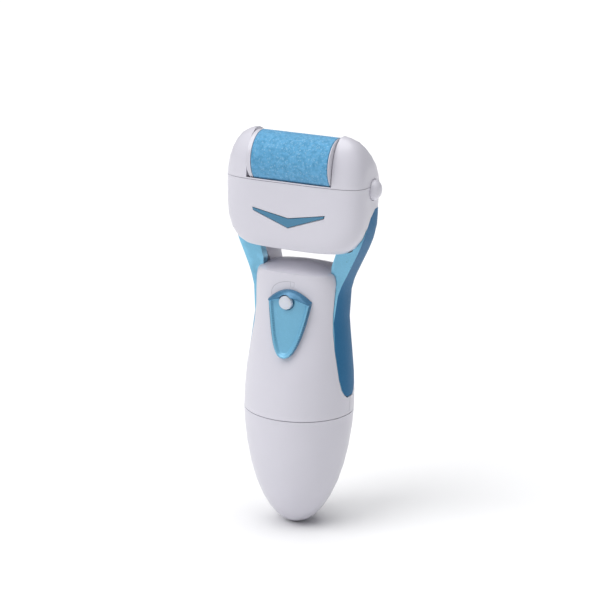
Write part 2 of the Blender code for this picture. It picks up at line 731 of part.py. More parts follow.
def heading(start, end):
    return math.atan2(end[1] - start[1], end[0] - start[0])


def gear(name, teeth, phase, centre, bore, finish=GEAR):
    made = make_object(name, prism(gear_outline(teeth, phase, centre), "X", *GEAR_X), finish, (0, *centre))
    carve(made, prism(circle(bore, centre, 16), "X", -40.0, 0.0))
    return made


def drive_parts():
    pinion_reach = MODULE * (PINION_TEETH + IDLER_TEETH) / 2
    roller_reach = MODULE * (IDLER_TEETH + ROLLER_TEETH) / 2
    idler_axis = meeting_point(MOTOR_AXIS, ROLLER_AXIS, pinion_reach, roller_reach)
    first, second = heading(MOTOR_AXIS, idler_axis), heading(idler_axis, ROLLER_AXIS)
    idler_phase = mate_phase(first, PINION_TEETH, IDLER_TEETH, first)
    roller_phase = mate_phase(idler_phase, IDLER_TEETH, ROLLER_TEETH, second)
    gear("motor_pinion", PINION_TEETH, first, MOTOR_AXIS, 1.0 + RUN, BRASS)
    gear("idler_gear", IDLER_TEETH, idler_phase, idler_axis, 1.0 + RUN)
    gear("roller_gear", ROLLER_TEETH, roller_phase, ROLLER_AXIS, 2.0 + RUN)
    make_object("idler_axle", turned([(-25.1, 1.0), (-20.8, 1.0)], "X", idler_axis, 12), STEEL)
    plate = make_object("gear_plate", box((-21.9, -9.6, 54.0), (-20.8, 6.6, 76.4)), STEEL)
    carve(plate, prism(circle(3.3, MOTOR_AXIS, 16), "X", -30.0, -10.0))
    carve(plate, prism(circle(1.0 + RUN, idler_axis, 12), "X", -30.0, -10.0))


def motor_parts():
    y, z = MOTOR_AXIS
    start, end = MOTOR_X
    can = turned([(start, MOTOR_RADIUS), (end, MOTOR_RADIUS)], "X", MOTOR_AXIS, 28)
    can = make_object("motor_can", can, STEEL)
    flat = box((-40, y - MOTOR_FLAT, z - 20), (40, y + MOTOR_FLAT, z + 20))
    carve(can, flat, "INTERSECT")
    carve(can, prism(circle(1.0 + RUN, MOTOR_AXIS, 12), "X", -30.0, -5.0))
    bell = [(end + GAP, 7.6), (end + 2.4, 7.0), (end + 3.6, 3.2)]
    make_object("motor_end_bell", turned(bell, "X", MOTOR_AXIS, 20), WHITE)
    make_object("motor_shaft", turned([(-25.1, 1.0), (-6.0, 1.0)], "X", MOTOR_AXIS, 12), STEEL, (0, y, z))
    for name, side in (("motor_terminal_upper", 1), ("motor_terminal_lower", -1)):
        low = (end + 3.9, y - 1.2, z + side * 4.5 - 0.3)
        high = (end + 5.9, y + 1.2, z + side * 4.5 + 0.3)
        make_object(name, box(low, high), COPPER)


# ---------------------------------------------------------------- roller and release


def roller_parts():
    y, z = ROLLER_AXIS
    origin = (0.0, y, z)
    outer, inner = ROLLER_RADIUS, ROLLER_RADIUS - SLEEVE_WALL
    rim, core_radius = outer - 0.1, inner - GAP / 2
    (left, right), (start, end) = ROLLER_X, SLEEVE_X
    make_object("abrasive_sleeve", tube("X", start, end, outer, inner, ROLLER_AXIS, 36), ABRASIVE, origin)
    core = [(left, rim - 0.5), (left + 0.4, rim), (start - GAP, rim), (start - GAP + 0.01, core_radius)]
    core.append((end, core_radius))
    made = make_object("roller_core", turned(core, "X", ROLLER_AXIS, 36), WHITE, origin)
    carve(made, prism(circle(7.4, ROLLER_AXIS, 24), "X", start + 2.0, 30.0))
    carve(made, prism(circle(2.0 + RUN, ROLLER_AXIS, 16), "X", -40.0, 0.0))
    cap = [(end + GAP, rim), (right - 0.1, rim), (right, rim - 0.3)]
    made = make_object("roller_end_cap", turned(cap, "X", ROLLER_AXIS, 36), WHITE, origin)
    carve(made, prism(circle(7.1, ROLLER_AXIS, 24), "X", 14.0, end + GAP + 0.4), "UNION")
    carve(made, prism(circle(PIN_RADIUS + RUN, ROLLER_AXIS, 16), "X", 10.0, 30.0))
    shaft = [(-25.1, 2.0), (start + 1.3, 2.0)]
    make_object("drive_shaft", turned(shaft, "X", ROLLER_AXIS, 16), STEEL, origin)
    bush = tube("X", -21.7, SLOT_X[0] + 0.2, BUSH_RADIUS, 2.0 + RUN, ROLLER_AXIS, 20)
    make_object("drive_bush", bush, BRASS)


def release_parts():
    y, z = BUTTON_AXIS
    button = [(24.2, 1.6), (28.9, 1.6), (28.95, 5.3), (29.8, 5.3), (29.85, BUTTON_RADIUS)]
    button += [(32.4, BUTTON_RADIUS), (34.2, 3.9), (35.1, 2.6), (35.5, 1.0)]
    make_object("release_button", turned(button, "X", BUTTON_AXIS, 24), WHITE, (35.5, y, z))
    make_object("release_spring", coil("X", 24.9, 28.8, 2.6, 0.3, 4.0, BUTTON_AXIS), STEEL)
    pin = [(17.2, 1.2), (17.6, PIN_RADIUS), (24.2, PIN_RADIUS), (24.25, 2.9), (25.1, 2.9)]
    pin += [(25.15, 1.2), (26.1, 1.2)]
    make_object("bearing_pin", turned(pin, "X", ROLLER_AXIS, 20), STEEL, (17.2, *ROLLER_AXIS))
    make_object("pin_spring", coil("X", 25.3, 26.5, 2.0, 0.2, 2.0, ROLLER_AXIS), STEEL)
    release_lever()


def release_lever():
    """Rocker between the button's stem and the bearing pin's collar."""
    start, end = BUTTON_AXIS, ROLLER_AXIS
    direction = heading(start, end)
    along_y, along_z = math.cos(direction), math.sin(direction)
    across_y, across_z = -along_z, along_y
    reach = math.dist(start, end)
    corners = ((-0.9, -2.0), (reach + 2.4, -2.8), (reach + 2.4, 2.8), (-0.9, 2.0))
    outline = [
        (start[0] + u * along_y + v * across_y, start[1] + u * along_z + v * across_z) for u, v in corners
    ]
    middle = ((start[0] + end[0]) / 2, (start[1] + end[1]) / 2)
    lever = make_object("release_lever", prism(outline, "X", *LEVER_X), GREY, (LEVER_X[0], *middle))
    slot = []
    for u, v in ((reach - 2.2, -1.9), (reach + 6.0, -1.9), (reach + 6.0, 1.9), (reach - 2.2, 1.9)):
        slot.append((start[0] + u * along_y + v * across_y, start[1] + u * along_z + v * across_z))
    carve(lever, prism(slot, "X", 10.0, 40.0))
    return lever


# ---------------------------------------------------------------- fasteners


def screw(name, x, z, head_y, tip_y):
    profile = [(tip_y, 0.4), (tip_y + 1.2, SCREW_RADIUS), (head_y - 1.6, SCREW_RADIUS)]
    profile += [(head_y - 1.55, SCREW_HEAD), (head_y - 0.4, SCREW_HEAD), (head_y, SCREW_HEAD - 0.5)]
    return make_object(name, turned(profile, "Y", (x, z), 12), STEEL)


def screws():
    for name, height in zip(("handle_screw_lower", "handle_screw_upper"), HANDLE_SCREWS):
        screw(name, 0.0, height, 9.9, -7.0)
    for number, (x, z) in enumerate(HEAD_SCREWS, 1):
        screw(f"head_screw_{number}", x, z, HEAD_BACK_FLAT - 0.2, 2.0)


def main():
    clear_scene()
    handle_front_shell()
    back_shell()
    side_grip("left_side_grip", -1)
    side_grip("right_side_grip", 1)
    head_housing()
    head_back_cover()
    chevron_inlay()
    roller_cradle()
    battery_cap()
    cap_contact_bridge()
    battery_holder()
    cap_seal()
    battery_parts()
    switch_parts()
    drive_parts()
    motor_parts()
    roller_parts()
    release_parts()
    screws()


main()
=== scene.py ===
"""Electric callus remover: finishes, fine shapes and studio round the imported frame."""

import json
import math
import bmesh  # noqa: E402
import bpy  # noqa: E402
import numpy  # noqa: E402
from bpy.props import FloatProperty, FloatVectorProperty, IntProperty, PointerProperty  # noqa: E402
from mathutils import Matrix, Vector  # noqa: E402
from mathutils.bvhtree import BVHTree  # noqa: E402
from mathutils.kdtree import KDTree  # noqa: E402


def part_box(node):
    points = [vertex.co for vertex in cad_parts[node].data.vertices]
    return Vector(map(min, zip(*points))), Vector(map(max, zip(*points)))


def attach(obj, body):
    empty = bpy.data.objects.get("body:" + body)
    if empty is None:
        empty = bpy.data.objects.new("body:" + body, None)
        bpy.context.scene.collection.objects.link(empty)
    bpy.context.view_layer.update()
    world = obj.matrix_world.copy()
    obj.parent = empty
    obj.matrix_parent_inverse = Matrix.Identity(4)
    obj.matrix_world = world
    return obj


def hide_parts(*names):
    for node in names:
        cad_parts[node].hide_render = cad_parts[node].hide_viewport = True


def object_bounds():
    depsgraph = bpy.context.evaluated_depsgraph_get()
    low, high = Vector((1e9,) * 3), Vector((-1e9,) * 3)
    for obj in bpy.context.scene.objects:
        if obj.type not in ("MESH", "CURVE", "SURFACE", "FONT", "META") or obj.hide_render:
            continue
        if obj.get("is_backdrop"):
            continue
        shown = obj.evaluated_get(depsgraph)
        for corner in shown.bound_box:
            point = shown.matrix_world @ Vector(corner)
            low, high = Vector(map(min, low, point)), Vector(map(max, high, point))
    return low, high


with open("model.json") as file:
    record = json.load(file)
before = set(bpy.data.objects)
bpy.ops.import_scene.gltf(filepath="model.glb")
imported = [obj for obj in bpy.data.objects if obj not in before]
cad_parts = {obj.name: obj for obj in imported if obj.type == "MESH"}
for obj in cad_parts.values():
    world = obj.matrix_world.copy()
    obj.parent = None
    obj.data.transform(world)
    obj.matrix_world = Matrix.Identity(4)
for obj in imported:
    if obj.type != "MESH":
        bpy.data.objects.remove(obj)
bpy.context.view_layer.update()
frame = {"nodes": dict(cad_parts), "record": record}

bl_info = {
    "name": "Callus Remover Looks",
    "version": (1, 0, 0),
    "blender": (4, 5, 0),
    "location": "3D View > Sidebar > Callus Remover",
    "description": "Finishes and fine shapes for an electric callus remover",
    "category": "Object",
}

MM = 0.001
NODE_BODY = {node: body for body, nodes in frame["record"]["behaviour"]["bodies"].items() for node in nodes}
NODE_SLOT = {row["node"]: row["material_slot"] for row in frame["record"]["subparts"]}


# ---------------------------------------------------------------- settings


class CallusShellSettings(bpy.types.PropertyGroup):
    white: FloatVectorProperty(
        name="White", description="Colour of the moulded casings", subtype="COLOR",
        size=3, min=0.0, max=1.0, default=(0.665, 0.652, 0.718),
    )
    pearl: FloatVectorProperty(
        name="Pearl blue", description="Colour of the grips' front faces", subtype="COLOR",
        size=3, min=0.0, max=1.0, default=(0.170, 0.460, 0.650),
    )
    panel: FloatVectorProperty(
        name="Deep blue", description="Colour of the grips' side panels", subtype="COLOR",
        size=3, min=0.0, max=1.0, default=(0.020, 0.142, 0.300),
    )
    slide: FloatVectorProperty(
        name="Slide blue", description="Colour of the thumb slide", subtype="COLOR",
        size=3, min=0.0, max=1.0, default=(0.175, 0.455, 0.650),
    )
    edge: FloatProperty(
        name="Edge radius", description="Rounding of moulded edges", subtype="DISTANCE", unit="LENGTH",
        default=0.35 * MM, min=0.0, max=2.0 * MM,
    )


class CallusRollerSettings(bpy.types.PropertyGroup):
    grit: FloatVectorProperty(
        name="Grit", description="Colour of the mineral grit", subtype="COLOR",
        size=3, min=0.0, max=1.0, default=(0.095, 0.330, 0.560),
    )
    relief: FloatProperty(
        name="Grit relief", description="Height of the grit on the sleeve", subtype="DISTANCE", unit="LENGTH",
        default=0.07 * MM, min=0.0, max=0.5 * MM,
    )
    grain: FloatProperty(
        name="Grain size", description="Width of a grain", subtype="DISTANCE", unit="LENGTH",
        default=0.55 * MM, min=0.1 * MM, max=3.0 * MM,
    )


class CallusSlideSettings(bpy.types.PropertyGroup):
    rim: FloatProperty(
        name="Rim height", description="Height of the thumb dish's rim over the handle", subtype="DISTANCE",
        unit="LENGTH", default=2.5 * MM, min=1.0 * MM, max=4.0 * MM,
    )
    dish: FloatProperty(
        name="Dish depth", description="Depth of the thumb dish below its rim", subtype="DISTANCE",
        unit="LENGTH", default=1.15 * MM, min=0.0, max=1.6 * MM,
    )
    visor: FloatProperty(
        name="Visor height", description="Height of the visor over the handle", subtype="DISTANCE",
        unit="LENGTH", default=4.1 * MM, min=2.0 * MM, max=6.0 * MM,
    )


class CallusScrewSettings(bpy.types.PropertyGroup):
    recess: FloatProperty(
        name="Recess width", description="Width of each arm of the cross recess", subtype="DISTANCE",
        unit="LENGTH", default=0.62 * MM, min=0.2 * MM, max=1.5 * MM,
    )
    sides: IntProperty(
        name="Sides", description="Number of flats round a screw head", default=32, min=12, max=64,
    )


class CallusStudioSettings(bpy.types.PropertyGroup):
    distance: FloatProperty(
        name="Camera distance", description="From the camera to the object", subtype="DISTANCE",
        unit="LENGTH", default=1.0, min=0.3, max=5.0,
    )
    turn: FloatProperty(
        name="Turn", description="Camera's angle round the object", subtype="ANGLE", unit="ROTATION",
        default=math.radians(24.0),
    )
    height: FloatProperty(
        name="Height angle", description="Camera's angle above the horizon", subtype="ANGLE", unit="ROTATION",
        default=math.radians(16.0),
    )
    roll: FloatProperty(
        name="Roll", description="Camera's tilt", subtype="ANGLE", unit="ROTATION",
        default=math.radians(1.5),
    )
    lens: FloatProperty(
        name="Lens", description="Focal length in millimetres", default=137.4, min=20.0, max=300.0,
    )


# ---------------------------------------------------------------- meshes


def new_piece(name, mesh):
    piece = bpy.data.objects.new(name, mesh)
    bpy.context.scene.collection.objects.link(piece)
    return piece


def mesh_from(name, points, faces, outward=True):
    mesh = bpy.data.meshes.new(name)
    mesh.from_pydata([tuple(point) for point in points], [], faces)
    if outward:
        work = bmesh.new()
        work.from_mesh(mesh)
        bmesh.ops.recalc_face_normals(work, faces=work.faces)
        work.to_mesh(mesh)
        work.free()
    return mesh


def shade(mesh, angle=34.0):
    mesh.shade_smooth()
    mesh.set_sharp_from_angle(angle=math.radians(angle))


def settle(piece):
    """Turns the piece's live modifiers into its plain mesh."""
    graph = bpy.context.evaluated_depsgraph_get()
    made = bpy.data.meshes.new_from_object(piece.evaluated_get(graph))
    worn = piece.data
    piece.modifiers.clear()
    piece.data = made
    bpy.data.meshes.remove(worn)


def place(piece, node, material, *others):
    """Gives a finished piece its material, its body and its CAD nodes."""
    piece.data.materials.clear()
    piece.data.materials.append(material)
    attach(piece, NODE_BODY[node])
    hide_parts(node, *others)
    return piece


def merged_copy(node, cell=2.0 * MM):
    """A CAD node's mesh with its doubles merged and its long faces cut into even cells."""
    mesh = frame["nodes"][node].data.copy()
    work = bmesh.new()
    work.from_mesh(mesh)
    bmesh.ops.remove_doubles(work, verts=work.verts, dist=2e-6)
    bmesh.ops.dissolve_limit(work, angle_limit=math.radians(0.02), verts=work.verts, edges=work.edges)
    low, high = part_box(node)
    for axis in range(3):
        normal = [float(axis == other) for other in range(3)]
        for step in range(1, math.ceil((high[axis] - low[axis]) / cell)):
            level = [value * (low[axis] + step * cell) for value in normal]
            whole = work.verts[:] + work.edges[:] + work.faces[:]
            bmesh.ops.bisect_plane(work, geom=whole, dist=1e-6, plane_co=level, plane_no=normal)
    work.to_mesh(mesh)
    work.free()
    return mesh


def even_normals(mesh, reach=3.6 * MM, crease=35.0):
    """Turns each corner to the mean direction of the surface round it, as far as the next crease."""
    centres = KDTree(len(mesh.polygons))
    for face in mesh.polygons:
        centres.insert(face.center, face.index)
    centres.balance()
    ways = numpy.array([face.normal for face in mesh.polygons])
    areas = numpy.array([face.area for face in mesh.polygons])
    limit, near, turned = math.cos(math.radians(crease)), {}, [None] * len(mesh.loops)
    for face in mesh.polygons:
        own = ways[face.index]
        for corner in face.loop_indices:
            vertex = mesh.loops[corner].vertex_index
            if vertex not in near:
                found = centres.find_range(mesh.vertices[vertex].co, reach)
                index = numpy.array([row[1] for row in found], dtype=int)
                share = 1 - (numpy.array([row[2] for row in found]) / reach) ** 2
                near[vertex] = (ways[index], areas[index] * share * share)
            around, weights = near[vertex]
            mean = (weights * (around @ own > limit)) @ around if len(weights) else own
            length = numpy.linalg.norm(mean)
            turned[corner] = mean / length if length > 1e-12 else own
    mesh.normals_split_custom_set(turned)


def soften(piece, radius, angle=38.0, segments=3):
    bevel = piece.modifiers.new("Edge", "BEVEL")
    bevel.width = radius
    bevel.segments = segments
    bevel.limit_method = "ANGLE"
    bevel.angle_limit = math.radians(angle)
    bevel.harden_normals = False
    bevel.use_clamp_overlap = True
    bevel.miter_outer = "MITER_ARC"
    settle(piece)
    shade(piece.data, 50.0)
    even_normals(piece.data)


def refine(node, material, radius=None):
    """A merged copy of a casing with rounded edges and smooth shading."""
    mesh = merged_copy(node)
    shade(mesh)
    piece = new_piece(node + "_moulding", mesh)
    if radius:
        soften(piece, radius)
    return place(piece, node, material)


def lathe(name, profile, centre, axis="X", sides=64):
    """A closed turned shape about X or Y from (distance, radius) pairs; a radius of nothing closes an end."""
    points, faces, rings = [], [], []
    for distance, radius in profile:
        ring = []
        for step in range(sides if radius else 1):
            angle = 2 * math.pi * step / sides
            u, v = centre[0] + radius * math.cos(angle), centre[1] + radius * math.sin(angle)
            ring.append(len(points))
            points.append((distance, u, v) if axis == "X" else (u, distance, v))
        rings.append(ring)
    for first, second in zip(rings, rings[1:]):
        for step in range(sides):
            corners = [first[step % len(first)], first[(step + 1) % len(first)]]
            corners += [second[(step + 1) % len(second)], second[step % len(second)]]
            faces.append(list(dict.fromkeys(corners)))
    for ring in (rings[0], rings[-1]):
        if len(ring) > 1:
            faces.append(ring)
    mesh = mesh_from(name, points, faces)
    shade(mesh)
    return mesh


def surface_over(node):
    """A function giving the depth of the casing behind a front position (x, z)."""
    mesh = frame["nodes"][node].data
    tree = BVHTree.FromPolygons([v.co for v in mesh.vertices], [tuple(p.vertices) for p in mesh.polygons])

    def find(x, z):
        return tree.ray_cast(Vector((x, -0.2, z)), Vector((0, 1, 0)))[0].y

    return find


# ---------------------------------------------------------------- materials


def blank_material(name):
    made = bpy.data.materials.new(name)
    made.use_nodes = True
    return made, made.node_tree, made.node_tree.nodes["Principled BSDF"]


def link(tree, start, end):
    tree.links.new(start, end)


def node_group(name, inputs, outputs):
    """An empty shader group with float or colour sockets and its two end nodes."""
    group = bpy.data.node_groups.new(name, "ShaderNodeTree")
    for title, kind, default in inputs:
        socket = group.interface.new_socket(title, in_out="INPUT", socket_type=kind)
        socket.default_value = default
    for title, kind in outputs:
        group.interface.new_socket(title, in_out="OUTPUT", socket_type=kind)
    return group, group.nodes.new("NodeGroupInput"), group.nodes.new("NodeGroupOutput")


def maths(tree, operation, first, second=None):
    node = tree.nodes.new("ShaderNodeMath")
    node.operation = operation
    for place_in, value in zip(node.inputs, (first, second)):
        if value is None:
            continue
        if isinstance(value, (int, float)):
            place_in.default_value = value
        else:
            link(tree, value, place_in)
    return node.outputs[0]


def mixed(tree, factor, first, second):
    node = tree.nodes.new("ShaderNodeMix")
    node.data_type = "RGBA"
    for socket, value in ((node.inputs[0], factor), (node.inputs[6], first), (node.inputs[7], second)):
        if isinstance(value, (int, float)):
            socket.default_value = value
        elif isinstance(value, tuple):
            socket.default_value = value
        else:
            link(tree, value, socket)
    return node.outputs[2]


def moulding_group():
    """Fine moulded texture: slow tone drift, fine roughness variation and a faint orange-peel height."""
    inputs = (
        ("Peel size", "NodeSocketFloat", 900.0),
        ("Drift size", "NodeSocketFloat", 38.0),
        ("Roughness", "NodeSocketFloat", 0.35),
    )
    outputs = (("Drift", "NodeSocketFloat"), ("Roughness", "NodeSocketFloat"), ("Height", "NodeSocketFloat"))
    group, start, end = node_group("Moulded surface", inputs, outputs)
    where = group.nodes.new("ShaderNodeTexCoord")
    peel = group.nodes.new("ShaderNodeTexNoise")
    drift = group.nodes.new("ShaderNodeTexNoise")
    for texture, title in ((peel, "Peel size"), (drift, "Drift size")):
        link(group, where.outputs["Object"], texture.inputs["Vector"])
        link(group, start.outputs[title], texture.inputs["Scale"])
        texture.inputs["Detail"].default_value = 3.0
    spread = maths(group, "MULTIPLY_ADD", peel.outputs["Fac"], 0.10)
    spread.node.inputs[2].default_value = -0.05
    slow = maths(group, "MULTIPLY_ADD", drift.outputs["Fac"], 0.12)
    slow.node.inputs[2].default_value = -0.06
    rough = maths(group, "ADD", maths(group, "ADD", spread, slow), start.outputs["Roughness"])
    link(group, drift.outputs["Fac"], end.inputs["Drift"])
    link(group, rough, end.inputs["Roughness"])
    link(group, peel.outputs["Fac"], end.inputs["Height"])
    return group


def edge_highlight_group():
    """Mask of convex edges from the mesh's own curvature, used to paint a lighter highlight on them."""
    limits = (("Start", "NodeSocketFloat", 0.52), ("End", "NodeSocketFloat", 0.60))
    group, start, end = node_group("Painted edge highlight", limits, (("Mask", "NodeSocketFloat"),))
    geometry = group.nodes.new("ShaderNodeNewGeometry")
    ramp = group.nodes.new("ShaderNodeMapRange")
    link(group, geometry.outputs["Pointiness"], ramp.inputs["Value"])
    link(group, start.outputs["Start"], ramp.inputs["From Min"])
    link(group, start.outputs["End"], ramp.inputs["From Max"])
    link(group, ramp.outputs["Result"], end.inputs["Mask"])
    return group


def use_group(tree, group, **values):
    node = tree.nodes.new("ShaderNodeGroup")
    node.node_tree = group
    for title, value in values.items():
        node.inputs[title.replace("_", " ")].default_value = value
    return node


def bump(tree, shader, height, distance, strength=1.0):
    node = tree.nodes.new("ShaderNodeBump")
    node.inputs["Strength"].default_value = strength
    node.inputs["Distance"].default_value = distance
    link(tree, height, node.inputs["Height"])
    link(tree, node.outputs["Normal"], shader.inputs["Normal"])


GROUPS = {}
FINISH = {}
# The first colour is a darker copy of the slide blue: painted shade for the visor's roof and right-facing
# walls.
VISOR_PAINTED_SHADE_BLUE, TEAL, MILKY_WHITE = (0.048, 0.190, 0.340), (0.045, 0.200, 0.340), (0.70, 0.68, 0.74)


def plastic(name, colour, roughness, coat=0.0, peel=0.006 * MM, edge_highlight_lift=0.25, **shader_values):
    """Moulded plastic: drifting tone, convex edges painted a lighter tone as a painted highlight, and a faint
    orange peel.
    """
    made, tree, shader = blank_material(name)
    skin = use_group(tree, GROUPS["moulding"], Roughness=roughness)
    edges = use_group(tree, GROUPS["edges"])
    dark = (*[value * 0.955 for value in colour], 1.0)
    light = (*[min(value * 1.03 + 0.004, 1.0) for value in colour], 1.0)
    edge_highlight_tone = (*[min(value * (1 + edge_highlight_lift) + 0.03, 1.0) for value in colour], 1.0)
    body = mixed(tree, skin.outputs["Drift"], dark, light)
    # Painted highlight: convex edges are mixed towards a lighter copy of the colour.
    edge_highlight_share = maths(tree, "MULTIPLY", edges.outputs["Mask"], 0.35)
    link(tree, mixed(tree, edge_highlight_share, body, edge_highlight_tone), shader.inputs["Base Color"])
    link(tree, skin.outputs["Roughness"], shader.inputs["Roughness"])
    bump(tree, shader, skin.outputs["Height"], peel)
    shader.inputs["Coat Weight"].default_value = coat
    shader.inputs["Coat Roughness"].default_value = 0.12
    for title, value in shader_values.items():
        shader.inputs[title.replace("_", " ")].default_value = value
    return made


def pearl_plastic(name, colour, roughness=0.30, metallic=0.45, coat=0.4, specular=0.5):
    """Pearl blue: fine flakes in a clear coat over a blue ground."""
    made, tree, shader = blank_material(name)
    skin = use_group(tree, GROUPS["moulding"], Roughness=roughness)
    edges = use_group(tree, GROUPS["edges"])
    where = tree.nodes.new("ShaderNodeTexCoord")
    flakes = tree.nodes.new("ShaderNodeTexVoronoi")
    flakes.inputs["Scale"].default_value = 5200.0
    link(tree, where.outputs["Object"], flakes.inputs["Vector"])
    split = tree.nodes.new("ShaderNodeSeparateColor")
    link(tree, flakes.outputs["Color"], split.inputs["Color"])
    sparkle = maths(tree, "POWER", split.outputs["Red"], 4.0)
    deep = (*[value * 0.90 for value in colour], 1.0)
    clear = (*[min(value * 1.08 + 0.01, 1.0) for value in colour], 1.0)
    bright = (*[min(value * 1.35 + 0.05, 1.0) for value in colour], 1.0)
    ground = mixed(tree, skin.outputs["Drift"], deep, clear)
    flaked = mixed(tree, maths(tree, "MULTIPLY", sparkle, 0.35), ground, bright)
    # Painted highlight: convex edges are mixed towards the brighter tone.
    edge_highlighted = mixed(tree, maths(tree, "MULTIPLY", edges.outputs["Mask"], 0.4), flaked, bright)
    link(tree, edge_highlighted, shader.inputs["Base Color"])
    link(tree, skin.outputs["Roughness"], shader.inputs["Roughness"])
    shine = maths(tree, "MULTIPLY_ADD", sparkle, 0.15)
    shine.node.inputs[2].default_value = metallic
    link(tree, shine, shader.inputs["Metallic"])
    bump(tree, shader, skin.outputs["Height"], 0.004 * MM)
    shader.inputs["Specular IOR Level"].default_value = specular
    shader.inputs["Coat Weight"].default_value = coat
    shader.inputs["Coat Roughness"].default_value = 0.18
    return made


def grit_material(name, colour):
    """Mineral grit bonded to a sleeve: mottled grains, dull, with a few pale crystals."""
    made, tree, shader = blank_material(name)
    where = tree.nodes.new("ShaderNodeTexCoord")
    grains = tree.nodes.new("ShaderNodeTexVoronoi")
    grains.inputs["Scale"].default_value = 2300.0
    patches = tree.nodes.new("ShaderNodeTexNoise")
    patches.inputs["Scale"].default_value = 640.0
    patches.inputs["Detail"].default_value = 5.0
    for texture in (grains, patches):
        link(tree, where.outputs["Object"], texture.inputs["Vector"])
    split = tree.nodes.new("ShaderNodeSeparateColor")
    link(tree, grains.outputs["Color"], split.inputs["Color"])
    dark = (colour[0] * 0.80, colour[1] * 0.88, colour[2] * 0.90, 1.0)
    light = (*[min(value * 1.14 + 0.015, 1.0) for value in colour], 1.0)
    pale = (0.36, 0.60, 0.76, 1.0)
    spread = tree.nodes.new("ShaderNodeMapRange")
    spread.inputs["From Min"].default_value = 0.38
    spread.inputs["From Max"].default_value = 0.62
    link(tree, patches.outputs["Fac"], spread.inputs["Value"])
    mottled = mixed(tree, spread.outputs["Result"], dark, light)
    grained = mixed(tree, maths(tree, "MULTIPLY", split.outputs["Green"], 0.30), mottled, light)
    crystals = maths(tree, "MULTIPLY", maths(tree, "POWER", split.outputs["Blue"], 9.0), 0.55)
    link(tree, mixed(tree, crystals, grained, pale), shader.inputs["Base Color"])
    rough = maths(tree, "MULTIPLY_ADD", split.outputs["Red"], 0.20)
    rough.node.inputs[2].default_value = 0.76
    link(tree, rough, shader.inputs["Roughness"])
    bump(tree, shader, grains.outputs["Distance"], 0.10 * MM)
    shader.inputs["Specular IOR Level"].default_value = 0.35
    shader.inputs["Sheen Weight"].default_value = 0.22
    shader.inputs["Sheen Roughness"].default_value = 0.5
    return made


def metal(name, colour, roughness, grain=1400.0):
    """Plated or turned metal with fine scratches and a slow change of polish."""
    made, tree, shader = blank_material(name)
    where = tree.nodes.new("ShaderNodeTexCoord")
    stretch = tree.nodes.new("ShaderNodeMapping")
    stretch.inputs["Scale"].default_value = (0.08, 1.0, 1.0)
    link(tree, where.outputs["Object"], stretch.inputs["Vector"])
    brushed = tree.nodes.new("ShaderNodeTexNoise")
    brushed.inputs["Scale"].default_value = grain
    brushed.inputs["Detail"].default_value = 4.0
    link(tree, stretch.outputs["Vector"], brushed.inputs["Vector"])
    dark = (*[value * 0.86 for value in colour], 1.0)
    light = (*[min(value * 1.08, 1.0) for value in colour], 1.0)
    link(tree, mixed(tree, brushed.outputs["Fac"], dark, light), shader.inputs["Base Color"])
    rough = maths(tree, "MULTIPLY_ADD", brushed.outputs["Fac"], 0.16)
    rough.node.inputs[2].default_value = roughness - 0.08
    link(tree, rough, shader.inputs["Roughness"])
    shader.inputs["Metallic"].default_value = 1.0
    bump(tree, shader, brushed.outputs["Fac"], 0.004 * MM)
    return made


class CALLUS_OT_finishes(bpy.types.Operator):
    """Makes the finishes and gives every CAD piece the one of its slot"""

    bl_idname = "callus.finishes"
    bl_label = "Finishes"

    def execute(self, context):
        shell = context.scene.callus_shell
        roller = context.scene.callus_roller
        GROUPS["moulding"] = moulding_group()
        GROUPS["edges"] = edge_highlight_group()
        white, pearl = tuple(shell.white), tuple(shell.pearl)
        FINISH.update(
            white_shell=plastic("White satin plastic", white, 0.36, coat=0.18, edge_highlight_lift=-0.02),
            blue_grip=pearl_plastic("Pearl blue plastic", pearl),
            panel=pearl_plastic("Deep pearl blue plastic", tuple(shell.panel), 0.50, 0.10, 0.0, 0.12),
            slide=pearl_plastic("Slide pearl blue plastic", tuple(shell.slide), 0.40, 0.25, 0.15),
            # Painted shade: the visor finish is a darker copy of the slide's blue.
            visor=pearl_plastic("Visor blue with painted shade", VISOR_PAINTED_SHADE_BLUE, 0.38, 0.25, 0.2),
            abrasive=grit_material("Blue mineral grit", tuple(roller.grit)),
            button=plastic("Milky button plastic", MILKY_WHITE, 0.26, coat=0.3, Subsurface_Weight=0.15),
            inlay=plastic("Teal inlay plastic", TEAL, 0.30, coat=0.25, edge_highlight_lift=0.4),
            mark=plastic("Grey marking", (0.42, 0.42, 0.47), 0.5, edge_highlight_lift=0.0),
            cell=plastic("Cell wrap", (0.16, 0.18, 0.22), 0.38, coat=0.2),
            inner_plastic=plastic("Grey inner plastic", (0.42, 0.43, 0.46), 0.50),
            gear_plastic=plastic("Natural gear plastic", (0.80, 0.78, 0.70), 0.45),
            seal_rubber=plastic("Black rubber", (0.025, 0.025, 0.028), 0.62, peel=0.02 * MM),
            steel=metal("Plated steel", (0.62, 0.62, 0.64), 0.28),
            motor_steel=metal("Motor can steel", (0.52, 0.53, 0.55), 0.36, 900.0),
            brass=metal("Turned brass", (0.78, 0.58, 0.25), 0.30),
            terminal_brass=metal("Tinned brass", (0.72, 0.55, 0.34), 0.34),
        )
        for node, piece in frame["nodes"].items():
            piece.data.materials.clear()
            piece.data.materials.append(FINISH[NODE_SLOT[node]])
        return {"FINISHED"}


# ---------------------------------------------------------------- casings


class CALLUS_OT_casings(bpy.types.Operator):
    """Rounds the edges of the white casings, the battery cap and the roller's rims"""

    bl_idname = "callus.casings"
    bl_label = "Casings"

    def execute(self, context):
        edge = context.scene.callus_shell.edge
        white = FINISH["white_shell"]
        for node, radius in (
            ("handle_front_shell", edge),
            ("back_shell", edge),
            ("head_housing", edge),
            ("head_back_cover", edge * 0.6),
            ("roller_cradle", edge * 1.4),
            ("battery_cap", edge),
            ("roller_core", edge * 0.6),
            ("roller_end_cap", edge * 0.6),
        ):
            refine(node, white, radius)
        return {"FINISHED"}


